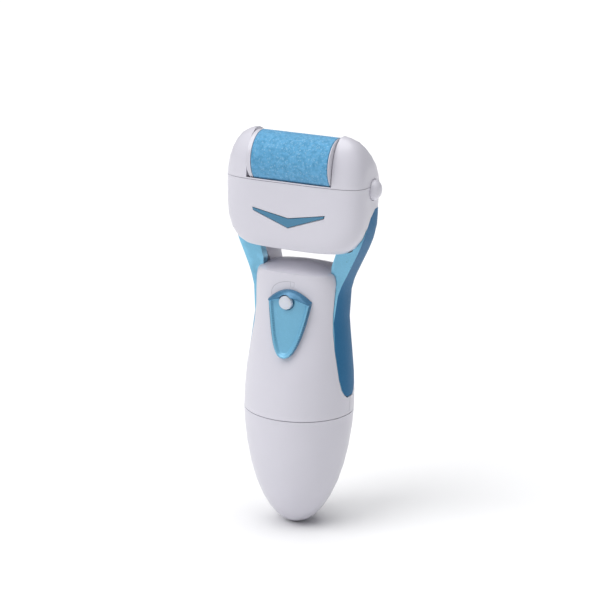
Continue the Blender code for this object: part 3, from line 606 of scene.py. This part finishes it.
class CALLUS_OT_grips(bpy.types.Operator):
    """Rounds the blue side grips and the V-shaped inlay"""

    bl_idname = "callus.grips"
    bl_label = "Grips"

    def execute(self, context):
        edge = context.scene.callus_shell.edge
        for node, side in (("left_side_grip", -1), ("right_side_grip", 1)):
            grip = refine(node, FINISH["blue_grip"], edge * 1.6)
            grip.data.materials.append(FINISH["panel"])
            for face in grip.data.polygons:
                if side * face.normal.x > 0.72 and face.normal.y > -0.60:
                    face.material_index = 1
        refine("chevron_inlay", FINISH["inlay"], edge * 0.4)
        return {"FINISHED"}


# ---------------------------------------------------------------- roller


SLEEVE_WALL, RIM_DROP, RIM_STEP = 1.1 * MM, 0.18 * MM, 0.12 * MM


def grit_tree(material):
    """Pushes the sleeve's outer wall in and out by a noise of the grain's size."""
    tree = bpy.data.node_groups.new("Grit sleeve", "GeometryNodeTree")
    face = tree.interface
    face.new_socket("Geometry", in_out="INPUT", socket_type="NodeSocketGeometry")
    for title in ("Relief", "Grain", "Wall", "Axis Y", "Axis Z"):
        face.new_socket(title, in_out="INPUT", socket_type="NodeSocketFloat")
    face.new_socket("Geometry", in_out="OUTPUT", socket_type="NodeSocketGeometry")
    start, end = tree.nodes.new("NodeGroupInput"), tree.nodes.new("NodeGroupOutput")

    def number(operation, *values):
        node = tree.nodes.new("ShaderNodeMath")
        node.operation = operation
        for socket, value in zip(node.inputs, values):
            if isinstance(value, (int, float)):
                socket.default_value = value
            else:
                tree.links.new(value, socket)
        return node.outputs[0]

    position = tree.nodes.new("GeometryNodeInputPosition")
    split = tree.nodes.new("ShaderNodeSeparateXYZ")
    tree.links.new(position.outputs[0], split.inputs[0])
    y = number("SUBTRACT", split.outputs["Y"], start.outputs["Axis Y"])
    z = number("SUBTRACT", split.outputs["Z"], start.outputs["Axis Z"])
    reach = number("SQRT", number("ADD", number("MULTIPLY", y, y), number("MULTIPLY", z, z)))
    outside = number("GREATER_THAN", reach, start.outputs["Wall"])
    texture = tree.nodes.new("ShaderNodeTexNoise")
    texture.inputs["Detail"].default_value = 2.0
    tree.links.new(number("DIVIDE", 1.0, start.outputs["Grain"]), texture.inputs["Scale"])
    tree.links.new(position.outputs[0], texture.inputs["Vector"])
    lift = number("MULTIPLY", number("SUBTRACT", texture.outputs["Fac"], 0.62), start.outputs["Relief"])
    normal = tree.nodes.new("GeometryNodeInputNormal")
    push = tree.nodes.new("ShaderNodeVectorMath")
    push.operation = "SCALE"
    tree.links.new(normal.outputs[0], push.inputs[0])
    tree.links.new(number("MULTIPLY", lift, 4.0), push.inputs["Scale"])
    move = tree.nodes.new("GeometryNodeSetPosition")
    tree.links.new(start.outputs["Geometry"], move.inputs["Geometry"])
    tree.links.new(outside, move.inputs["Selection"])
    tree.links.new(push.outputs[0], move.inputs["Offset"])
    realize = tree.nodes.new("GeometryNodeRealizeInstances")
    paint = tree.nodes.new("GeometryNodeSetMaterial")
    paint.inputs["Material"].default_value = material
    tree.links.new(move.outputs[0], realize.inputs[0])
    tree.links.new(realize.outputs[0], paint.inputs["Geometry"])
    tree.links.new(paint.outputs[0], end.inputs["Geometry"])
    return tree


def apply_tree(piece, tree, **values):
    modifier = piece.modifiers.new("Rule", "NODES")
    modifier.node_group = tree
    for item in tree.interface.items_tree:
        if item.item_type == "SOCKET" and item.in_out == "INPUT":
            key = item.name.replace(" ", "_")
            if key in values:
                modifier[item.identifier] = values[key]
    settle(piece)


class CALLUS_OT_roller(bpy.types.Operator):
    """Makes the abrasive sleeve with real grit relief"""

    bl_idname = "callus.roller"
    bl_label = "Roller"

    def execute(self, context):
        settings = context.scene.callus_roller
        low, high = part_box("abrasive_sleeve")
        centre = ((low[1] + high[1]) / 2, (low[2] + high[2]) / 2)
        outer = (high[2] - low[2]) / 2
        inner = outer - SLEEVE_WALL
        start, end, steps = low[0], high[0], 120
        profile = [(start, inner), (start, outer - RIM_DROP), (start + RIM_STEP, outer)]
        for step in range(1, steps):
            profile.append((start + (end - start) * step / steps, outer))
        profile += [(end - RIM_STEP, outer), (end, outer - RIM_DROP), (end, inner)]
        points, faces, sides = [], [], 200
        for distance, radius in profile:
            for step in range(sides):
                angle = 2 * math.pi * step / sides
                u, v = centre[0] + radius * math.cos(angle), centre[1] + radius * math.sin(angle)
                points.append((distance, u, v))
        rings = len(profile)
        for ring in range(rings):
            following = (ring + 1) % rings
            for step in range(sides):
                side = (step + 1) % sides
                first, second = ring * sides, following * sides
                faces.append((first + step, first + side, second + side, second + step))
        mesh = mesh_from("abrasive_grit_sleeve", points, faces)
        piece = new_piece("abrasive_grit_sleeve", mesh)
        apply_tree(
            piece, grit_tree(FINISH["abrasive"]), Relief=settings.relief, Grain=settings.grain,
            Wall=outer - 0.1 * MM, Axis_Y=centre[0], Axis_Z=centre[1],
        )
        shade(piece.data, 60.0)
        place(piece, "abrasive_sleeve", FINISH["abrasive"])
        return {"FINISHED"}


# ---------------------------------------------------------------- thumb slide


FOOT, SHOULDER, TOP, HALF, MIDDLE = 1.0 * MM, 25.2 * MM, 30.0 * MM, 9.8 * MM, 1.0 * MM
LOCK_Z, LOCK_R = 25.0 * MM, 3.1 * MM


def step_up(value, start, end):
    share = min(max((value - start) / (end - start), 0.0), 1.0)
    return share * share * (3 - 2 * share)


def slide_edges(x):
    """Lowest and highest z of the thumb slide at x."""
    share = min(abs(x - MIDDLE) / HALF, 1.0)
    low = FOOT + (SHOULDER - FOOT) * share**2.5
    high = SHOULDER + 0.4 * MM + (TOP - SHOULDER) * (1 - share * share)
    return low, high


def slide_outline():
    points = []
    for step in range(241):
        x = MIDDLE + HALF * math.sin(math.pi * (step / 240 - 0.5))
        points.append((x, slide_edges(x)[0]))
    for step in range(241):
        x = MIDDLE - HALF * math.sin(math.pi * (step / 240 - 0.5))
        points.append((x, slide_edges(x)[1]))
    return points


def slide_height(x, z, edge, settings):
    """How far the slide stands over the handle, with its rim, dish, visor and button well."""
    rim, dish = settings.rim, settings.dish
    share = min(abs(x - MIDDLE) / HALF, 1.0)
    brow = SHOULDER - 0.2 * MM + 2.6 * MM * (1 - share**1.6)
    height = rim - dish * step_up(edge, 0.9 * MM, 2.2 * MM)
    top = slide_edges(x)[1]
    rise = (z - brow) / max(top - brow, 0.3 * MM)
    visor = settings.visor - 2.2 * MM * max(rise, 0.0) ** 1.3 - 0.4 * MM * share**2
    height += (visor - height) * step_up(z, brow - 1.30 * MM, brow + 0.35 * MM)
    well = math.hypot(x, z - LOCK_Z)
    under = 1.0 - step_up(well, LOCK_R + 0.12 * MM, LOCK_R + 0.42 * MM)
    height += (0.50 * MM - height) * under
    round_off = min(edge / (0.75 * MM), 1.0)
    return 0.8 * MM + (height - 0.8 * MM) * math.sqrt(max(1 - (1 - round_off) ** 2, 0.0))


class CALLUS_OT_slide(bpy.types.Operator):
    """Makes the thumb slide, with its dish, rim and visor, and the round button in it"""

    bl_idname = "callus.slide"
    bl_label = "Thumb slide"

    def execute(self, context):
        settings = context.scene.callus_slide
        columns, rows = 140, 150
        front = self.front()
        outline = [Vector((x, z)) for x, z in slide_outline()]
        slope_at = {}
        for step in range(columns + 1):
            x = MIDDLE + HALF * 0.9995 * math.sin(math.pi * (step / columns - 0.5))
            slope_at[step] = (x, *slide_edges(x))
        top_points, under_points = [], []
        for step in range(columns + 1):
            x, low, high = slope_at[step]
            for row in range(rows + 1):
                z = low + (high - low) * row / rows
                edge = min((Vector((x, z)) - spot).length_squared for spot in outline[::3]) ** 0.5
                if row in (0, rows) or step in (0, columns):
                    edge = 0.0
                y = front(x, z)
                top_points.append((x, y - slide_height(x, z, edge, settings), z))
                under_points.append((x, y - 0.42 * MM, z))
        points = top_points + under_points
        faces, span, shift = [], rows + 1, len(top_points)
        for step in range(columns):
            for row in range(rows):
                corner = step * span + row
                faces.append((corner, corner + span, corner + span + 1, corner + 1))
                under = shift + corner
                faces.append((under, under + 1, under + span + 1, under + span))
        rim = [step * span for step in range(columns + 1)]
        rim += [columns * span + row for row in range(1, rows + 1)]
        rim += [step * span + rows for step in range(columns - 1, -1, -1)]
        rim += [row for row in range(rows - 1, 0, -1)]
        for first, second in zip(rim, rim[1:] + rim[:1]):
            faces.append((first, second, second + shift, first + shift))
        mesh = mesh_from("thumb_slide", points, faces)
        shade(mesh, 55.0)
        slide = place(new_piece("thumb_slide", mesh), "switch_slider", FINISH["slide"])
        # Painted shade: faces above the brow and faces turned to +X take the darker visor finish.
        slide.data.materials.append(FINISH["visor"])
        for face in slide.data.polygons:
            x, _, z = face.center
            share = min(abs(x - MIDDLE) / HALF, 1.0)
            if z > SHOULDER - 0.7 * MM + 2.6 * MM * (1 - share**1.6) or face.normal.x > 0.75:
                face.material_index = 1
        self.stem()
        self.button()
        return {"FINISHED"}

    def front(self):
        """A smooth surface through the casing under the slide, which carries over the stem's slot."""
        find = surface_over("handle_front_shell")
        rows, depths = [], []
        for step in range(29):
            for level in range(33):
                x, z = (step - 14) * 0.85 * MM + MIDDLE, level * 1.05 * MM - 1.0 * MM
                if abs(x) > 2.6 * MM or not 11.6 * MM < z < 24.6 * MM:
                    rows.append(self.terms(x, z))
                    depths.append(find(x, z))
        weights = numpy.linalg.lstsq(numpy.array(rows), numpy.array(depths), rcond=None)[0]
        return lambda x, z: float(numpy.dot(self.terms(x, z), weights))

    def terms(self, x, z):
        u, v = x / (10 * MM), z / (20 * MM)
        across = (1.0, u * u, u**4, u**6)
        return [side * v**power for side in across for power in range(4)]

    def stem(self):
        """The slide's stem through the casing."""
        points = []
        for z, face in ((13.0, -17.0), (19.0, -15.95)):
            corners = ((-1.7, face), (1.7, face), (1.7, -10.6), (-1.7, -10.6))
            points += [(x * MM, y * MM, z * MM) for x, y in corners]
        faces = [(0, 1, 2, 3), (4, 5, 6, 7), (0, 1, 5, 4), (1, 2, 6, 5), (2, 3, 7, 6), (3, 0, 4, 7)]
        piece = new_piece("thumb_slide_stem", mesh_from("thumb_slide_stem", points, faces))
        soften(piece, 0.25 * MM)
        piece.data.materials.append(FINISH["slide"])
        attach(piece, "switch")

    def button(self):
        low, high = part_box("lock_button")
        face, back = low[1], high[1] - 0.35 * MM
        profile = [(back, 0.0), (back, LOCK_R - 0.2 * MM), (back - 0.2 * MM, LOCK_R)]
        crown, shoulder = 0.5 * MM, LOCK_R - 0.14 * MM
        profile += [(face + 0.85 * MM, LOCK_R), (face + crown, shoulder)]
        for step in range(1, 10):
            share = step / 9
            drop = crown * (1 - math.sin(share * math.pi / 2))
            profile.append((face + drop, shoulder * (1 - share**2.2)))
        mesh = lathe("lock_button_dome", profile, (0.0, LOCK_Z), "Y", 48)
        place(new_piece("lock_button_dome", mesh), "lock_button", FINISH["button"])


# ---------------------------------------------------------------- release button


class CALLUS_OT_release(bpy.types.Operator):
    """Makes the domed roller release button"""

    bl_idname = "callus.release"
    bl_label = "Release button"

    def execute(self, context):
        low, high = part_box("release_button")
        centre = ((low[1] + high[1]) / 2, (low[2] + high[2]) / 2)
        tip, start = high[0], low[0]
        wide, dome = 4.4 * MM, 3.4 * MM
        profile = [(start, 0.0), (start, 1.4 * MM), (start + 0.2 * MM, 1.6 * MM), (tip - 6.6 * MM, 1.6 * MM)]
        profile += [(tip - 6.55 * MM, 5.3 * MM), (tip - 5.7 * MM, 5.3 * MM), (tip - 5.65 * MM, wide)]
        for step in range(0, 15):
            angle = math.pi / 2 * step / 14
            radius = wide * math.cos(angle) ** 0.85 if step < 14 else 0.0
            profile.append((tip - dome + dome * math.sin(angle), radius))
        mesh = lathe("release_button_dome", profile, centre, "X", 56)
        place(new_piece("release_button_dome", mesh), "release_button", FINISH["white_shell"])
        return {"FINISHED"}


# ---------------------------------------------------------------- markings


def tube_along(name, path, radius, sides=8):
    points, faces = [], []
    for place_in, spot in enumerate(path):
        before, after = path[max(place_in - 1, 0)], path[min(place_in + 1, len(path) - 1)]
        run = (after - before).normalized()
        side = run.cross(Vector((0, 1, 0))).normalized()
        rise = run.cross(side).normalized()
        for step in range(sides):
            angle = 2 * math.pi * step / sides
            points.append(spot + side * radius * math.cos(angle) + rise * radius * math.sin(angle))
    count = len(path)
    for ring in range(count - 1):
        for step in range(sides):
            other = (step + 1) % sides
            first, second = ring * sides, (ring + 1) * sides
            faces.append((first + step, first + other, second + other, second + step))
    faces.append(tuple(range(sides)))
    faces.append(tuple(range((count - 1) * sides, count * sides)))
    mesh = mesh_from(name, points, faces)
    shade(mesh, 60.0)
    return mesh


class CALLUS_OT_markings(bpy.types.Operator):
    """Makes the fine outline round the thumb slide's upper stop"""

    bl_idname = "callus.markings"
    bl_label = "Markings"

    def execute(self, context):
        find = surface_over("handle_front_shell")
        arc = []
        for step in range(40):
            angle = math.radians(190.0 - 100.0 * step / 39)
            arc.append((0.7 * MM + 8.9 * MM * math.cos(angle), 27.9 * MM + 5.7 * MM * math.sin(angle)))
        frame_line = []
        corners = ((0.8, 33.6), (2.5, 33.6), (2.5, 31.4), (0.8, 31.4), (0.8, 33.6))
        for (x0, z0), (x1, z1) in zip(corners, corners[1:]):
            for step in range(6):
                frame_line.append(((x0 + (x1 - x0) * step / 6) * MM, (z0 + (z1 - z0) * step / 6) * MM))
        frame_line.append((corners[0][0] * MM, corners[0][1] * MM))
        for name, line, radius in (("stop_outline", arc, 0.11), ("stop_square", frame_line, 0.09)):
            path = [Vector((x, find(x, z) + 0.045 * MM, z)) for x, z in line]
            piece = new_piece(name, tube_along(name, path, radius * MM))
            piece.data.materials.append(FINISH["mark"])
            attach(piece, "housing")
        return {"FINISHED"}


# ---------------------------------------------------------------- screws


def screw_mesh(sides, recess):
    """A pan-head screw that faces +Y, with the top of its head at the origin."""
    profile = [(-11.0, 0.0), (-11.0, 0.4), (-9.8, 1.15), (-1.6, 1.15), (-1.58, 2.2), (-0.5, 2.25)]
    profile += [(-0.15, 1.9), (0.0, 1.2), (0.0, 0.0)]
    mesh = lathe("screw_head", [(d * MM, r * MM) for d, r in profile], (0.0, 0.0), "Y", sides)
    head = new_piece("screw_head", mesh)
    for turn in (0.0, math.pi / 2):
        long_side, short_side, depth = 1.35 * MM, recess / 2, 0.9 * MM
        points = []
        for y, shrink in ((-depth, 0.55), (0.5 * MM, 1.15)):
            for x, z in ((-1, -1), (1, -1), (1, 1), (-1, 1)):
                spot = Matrix.Rotation(turn, 3, "Y") @ Vector((x * long_side * shrink, y, z * short_side))
                points.append(spot)
        faces = [(0, 1, 2, 3), (4, 5, 6, 7), (0, 1, 5, 4), (1, 2, 6, 5), (2, 3, 7, 6), (3, 0, 4, 7)]
        cutter = new_piece("recess", mesh_from("recess", points, faces))
        cut = head.modifiers.new("Recess", "BOOLEAN")
        cut.object = cutter
        cut.solver = "EXACT"
        settle(head)
        bpy.data.objects.remove(cutter, do_unlink=True)
    shade(head.data, 34.0)
    return head


def screw_tree(source, material):
    """Puts one screw on every point of a mesh."""
    tree = bpy.data.node_groups.new("Screws", "GeometryNodeTree")
    tree.interface.new_socket("Geometry", in_out="INPUT", socket_type="NodeSocketGeometry")
    size = tree.interface.new_socket("Size", in_out="INPUT", socket_type="NodeSocketFloat")
    size.default_value = 1.0
    tree.interface.new_socket("Geometry", in_out="OUTPUT", socket_type="NodeSocketGeometry")
    start, end = tree.nodes.new("NodeGroupInput"), tree.nodes.new("NodeGroupOutput")
    info = tree.nodes.new("GeometryNodeObjectInfo")
    info.inputs["Object"].default_value = source
    copies = tree.nodes.new("GeometryNodeInstanceOnPoints")
    turn = tree.nodes.new("FunctionNodeRandomValue")
    turn.data_type = "FLOAT_VECTOR"
    turn.inputs["Min"].default_value = (0.0, -0.7, 0.0)
    turn.inputs["Max"].default_value = (0.0, 0.7, 0.0)
    turn.inputs["Seed"].default_value = 4
    realize = tree.nodes.new("GeometryNodeRealizeInstances")
    paint = tree.nodes.new("GeometryNodeSetMaterial")
    paint.inputs["Material"].default_value = material
    tree.links.new(start.outputs["Geometry"], copies.inputs["Points"])
    tree.links.new(info.outputs["Geometry"], copies.inputs["Instance"])
    tree.links.new(turn.outputs[0], copies.inputs["Rotation"])
    tree.links.new(start.outputs["Size"], copies.inputs["Scale"])
    tree.links.new(copies.outputs[0], realize.inputs[0])
    tree.links.new(realize.outputs[0], paint.inputs["Geometry"])
    tree.links.new(paint.outputs[0], end.inputs["Geometry"])
    return tree


class CALLUS_OT_screws(bpy.types.Operator):
    """Makes the cross-recessed screws in the back of the handle and the head"""

    bl_idname = "callus.screws"
    bl_label = "Screws"

    def execute(self, context):
        settings = context.scene.callus_screws
        nodes = ("handle_screw_lower", "handle_screw_upper", "head_screw_1", "head_screw_2")
        spots = []
        for node in nodes:
            low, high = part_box(node)
            spots.append(((low[0] + high[0]) / 2, high[1], (low[2] + high[2]) / 2))
        source = screw_mesh(settings.sides, settings.recess)
        mesh = bpy.data.meshes.new("casing_screws")
        mesh.from_pydata(spots, [], [])
        piece = new_piece("casing_screws", mesh)
        apply_tree(piece, screw_tree(source, FINISH["steel"]), Size=1.0)
        bpy.data.objects.remove(source, do_unlink=True)
        place(piece, nodes[0], FINISH["steel"], *nodes[1:])
        return {"FINISHED"}


# ---------------------------------------------------------------- studio


def broad_light(name, direction, width, share):
    """A large soft light far away: width is its angle in degrees, share the brightness of white facing it."""
    data = bpy.data.lights.new(name, "SUN")
    data.angle = math.radians(width)
    data.energy = share * math.pi
    lamp = bpy.data.objects.new(name, data)
    lamp.rotation_euler = Vector(direction).to_track_quat("Z", "Y").to_euler()
    bpy.context.scene.collection.objects.link(lamp)
    return lamp


class CALLUS_OT_studio(bpy.types.Operator):
    """Makes the pale floor, the soft lights and the camera"""

    bl_idname = "callus.studio"
    bl_label = "Studio"

    def execute(self, context):
        settings = context.scene.callus_studio
        scene = context.scene
        low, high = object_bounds()
        self.floor(low[2] - 0.1 * MM)
        self.sky(scene)
        left = Vector((-math.cos(settings.turn), -math.sin(settings.turn), 0.0))
        front = Vector((math.sin(settings.turn), -math.cos(settings.turn), 0.0))
        broad_light("key", left * 0.85 + front * 0.53 + Vector((0.0, 0.0, 1.0)), 40.0, 0.46)
        broad_light("top", Vector((0.0, 0.0, 1.0)), 60.0, 0.64)
        data = bpy.data.cameras.new("camera")
        data.lens = settings.lens
        data.sensor_width = 36.0
        data.clip_start, data.clip_end = 0.05, 30.0
        camera = bpy.data.objects.new("camera", data)
        scene.collection.objects.link(camera)
        yaw, lift, roll = settings.turn, settings.height, settings.roll
        back = Vector((math.sin(yaw) * math.cos(lift), -math.cos(yaw) * math.cos(lift), math.sin(lift)))
        right = Vector((math.cos(yaw), math.sin(yaw), 0.0))
        up = back.cross(right)
        right, up = (
            right * math.cos(roll) + up * math.sin(roll),
            up * math.cos(roll) - right * math.sin(roll),
        )
        target = right * (-0.3 * MM) + up * (21.0 * MM)
        spot = target + back * settings.distance
        turn = Matrix((right, up, back)).transposed().to_4x4()
        camera.matrix_world = Matrix.Translation(spot) @ turn
        scene.camera = camera
        scene.view_settings.view_transform = "Standard"
        return {"FINISHED"}

    def floor(self, height):
        points, faces = [], []
        for step in range(64):
            angle = 2 * math.pi * step / 64
            points.append((6.0 * math.cos(angle), 6.0 * math.sin(angle), height))
        faces.append(tuple(range(64)))
        floor = new_piece("studio_floor", mesh_from("studio_floor", points, faces, outward=False))
        made, tree, shader = blank_material("Pale floor")
        where = tree.nodes.new("ShaderNodeTexCoord")
        texture = tree.nodes.new("ShaderNodeTexNoise")
        texture.inputs["Scale"].default_value = 3.0
        link(tree, where.outputs["Object"], texture.inputs["Vector"])
        colour = mixed(tree, texture.outputs["Fac"], (0.955, 0.955, 0.96, 1.0), (0.975, 0.975, 0.98, 1.0))
        link(tree, colour, shader.inputs["Base Color"])
        shader.inputs["Roughness"].default_value = 0.9
        shader.inputs["Specular IOR Level"].default_value = 0.1
        floor.data.materials.append(made)
        floor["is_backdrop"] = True

    def sky(self, scene):
        world = bpy.data.worlds.new("studio")
        scene.world = world
        world.use_nodes = True
        shader = world.node_tree.nodes["Background"]
        shader.inputs["Color"].default_value = (0.96, 0.97, 1.0, 1.0)
        shader.inputs["Strength"].default_value = 0.2


class CALLUS_PT_panel(bpy.types.Panel):
    """Sizes, colours and steps of the callus remover"""

    bl_label = "Callus Remover"
    bl_idname = "CALLUS_PT_panel"
    bl_space_type = "VIEW_3D"
    bl_region_type = "UI"
    bl_category = "Callus Remover"

    def draw(self, context):
        scene = context.scene
        groups = (
            (
                scene.callus_shell,
                ("white", "pearl", "panel", "slide", "edge"),
                ("callus.finishes", "callus.casings", "callus.grips"),
            ),
            (scene.callus_roller, ("grit", "relief", "grain"), ("callus.roller",)),
            (
                scene.callus_slide,
                ("rim", "dish", "visor"),
                ("callus.slide", "callus.markings", "callus.release"),
            ),
            (scene.callus_screws, ("recess", "sides"), ("callus.screws",)),
            (scene.callus_studio, ("distance", "turn", "height", "roll", "lens"), ("callus.studio",)),
        )
        for settings, names, steps in groups:
            column = self.layout.box().column()
            for name in names:
                column.prop(settings, name)
            for step in steps:
                column.operator(step)


SETTINGS = (
    ("callus_shell", CallusShellSettings),
    ("callus_roller", CallusRollerSettings),
    ("callus_slide", CallusSlideSettings),
    ("callus_screws", CallusScrewSettings),
    ("callus_studio", CallusStudioSettings),
)
OPERATORS = (
    CALLUS_OT_finishes,
    CALLUS_OT_casings,
    CALLUS_OT_grips,
    CALLUS_OT_roller,
    CALLUS_OT_slide,
    CALLUS_OT_release,
    CALLUS_OT_markings,
    CALLUS_OT_screws,
    CALLUS_OT_studio,
)


def register():
    for name, group in SETTINGS:
        bpy.utils.register_class(group)
        setattr(bpy.types.Scene, name, PointerProperty(type=group))
    for operator in OPERATORS:
        bpy.utils.register_class(operator)
    bpy.utils.register_class(CALLUS_PT_panel)


def unregister():
    bpy.utils.unregister_class(CALLUS_PT_panel)
    for operator in reversed(OPERATORS):
        bpy.utils.unregister_class(operator)
    for name, group in reversed(SETTINGS):
        delattr(bpy.types.Scene, name)
        bpy.utils.unregister_class(group)


def main():
    register()
    bpy.ops.callus.finishes()
    bpy.ops.callus.casings()
    bpy.ops.callus.grips()
    bpy.ops.callus.roller()
    bpy.ops.callus.slide()
    bpy.ops.callus.release()
    bpy.ops.callus.markings()
    bpy.ops.callus.screws()
    bpy.ops.callus.studio()


if __name__ == "__main__":
    main()
